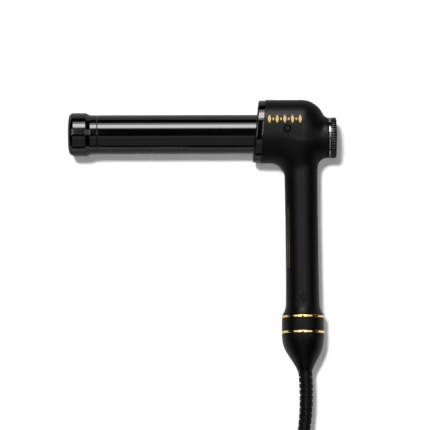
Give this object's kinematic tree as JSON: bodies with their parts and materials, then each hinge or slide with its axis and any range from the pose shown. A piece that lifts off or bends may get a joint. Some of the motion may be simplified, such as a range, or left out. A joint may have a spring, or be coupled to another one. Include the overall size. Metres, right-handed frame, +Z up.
{
  "type": "curling wand",
  "caption": "Corded curling wand with a glossy black barrel at right angles to a soft-touch handle, gold trim rings, a knurled temperature dial and a swivel cord with a plug.",
  "frame": {"origin": "middle of the wand's footprint on the table, cord not counted, wand lying on its side", "axes": "barrel points along -X, handle and cord along -Y, +Z up from the table"},
  "size_m": [0.2228, 0.414, 0.042],
  "materials": {
    "soft_black": "soft-touch black",
    "gloss_black": "high gloss black",
    "barrel_coating": "glossy black ceramic coating on aluminium",
    "gold": "polished gold plating",
    "bright_chrome": "polished",
    "cord_rubber": "satin black",
    "tie_rubber": "matte",
    "nickel_blade": "nickel plated",
    "lens": "smoked window",
    "button_grey": "satin grey",
    "aluminium": "extruded",
    "steel": "zinc plated",
    "copper_alloy": "plain",
    "ceramic_part": "fired",
    "board_green": "solder mask",
    "dark_component": "moulded",
    "relay_blue": "moulded",
    "cap_yellow": "moulded",
    "lead_silicone": "silicone sleeve",
    "fuse_glass": "clear tube",
    "heat_plastic": "glass filled"
  },
  "bodies": {
    "wand": {"barrel_tube": "barrel_coating", "barrel_tip": "gloss_black", "tip_insulator": "ceramic_part", "tip_screw": "steel", "ptc_heater": "ceramic_part", "electrode_plates": "copper_alloy", "heat_spreader_front": "aluminium", "heat_spreader_rear": "aluminium", "thermistor": "fuse_glass", "thermal_fuse": "steel", "barrel_carrier": "heat_plastic", "heat_collar": "gloss_black", "front_shell": "soft_black", "rear_shell": "soft_black", "shell_screws": "steel", "screw_plugs": "soft_black", "dial_trim_ring": "bright_chrome", "display_bezel": "gloss_black", "display_lens": "lens", "display_module": "dark_component", "display_board": "board_green", "microcontroller": "dark_component", "tact_switch": "dark_component", "heater_leads": "lead_silicone", "sensor_leads": "lead_silicone", "display_leads": "lead_silicone", "mains_leads": "lead_silicone", "power_board": "board_green", "terminal_block": "cap_yellow", "triac": "dark_component", "filter_capacitor": "cap_yellow", "choke": "dark_component", "relay": "relay_blue", "mains_fuse": "fuse_glass", "buzzer": "dark_component", "tail_sleeve": "heat_plastic", "gold_ring_upper": "gold", "gold_ring_lower": "gold", "handle_band": "soft_black", "end_cap": "soft_black", "brush_holder": "heat_plastic", "contact_brushes": "copper_alloy", "cord_lead": "cord_rubber", "cord_coil": "cord_rubber", "cord_tail": "cord_rubber", "cord_tie": "tie_rubber", "plug_body": "cord_rubber", "plug_blades": "nickel_blade"},
    "dial": {"temp_dial": "soft_black", "encoder_ring": "dark_component"},
    "button": {"power_button": "button_grey"},
    "swivel": {"strain_relief": "cord_rubber", "inner_cord": "cord_rubber", "swivel_collar": "heat_plastic", "slip_rings": "copper_alloy", "slip_ring_rotor": "heat_plastic"}
  },
  "joints": [
    {"name": "dial_turn", "type": "hinge", "parent": "wand", "child": "dial", "pos_m": [0.1084, 0.10975, 0.021], "axis": [1, 0, 0], "continuous": true},
    {"name": "button_press", "type": "slide", "parent": "wand", "child": "button", "axis": [-1, 0, 0], "range_m": [0, 0.0008], "stiffness_N_per_m": 300},
    {"name": "swivel_turn", "type": "hinge", "parent": "wand", "child": "swivel", "pos_m": [0.0839, -0.08305, 0.021], "axis": [0, 1, 0], "continuous": true}
  ]
}
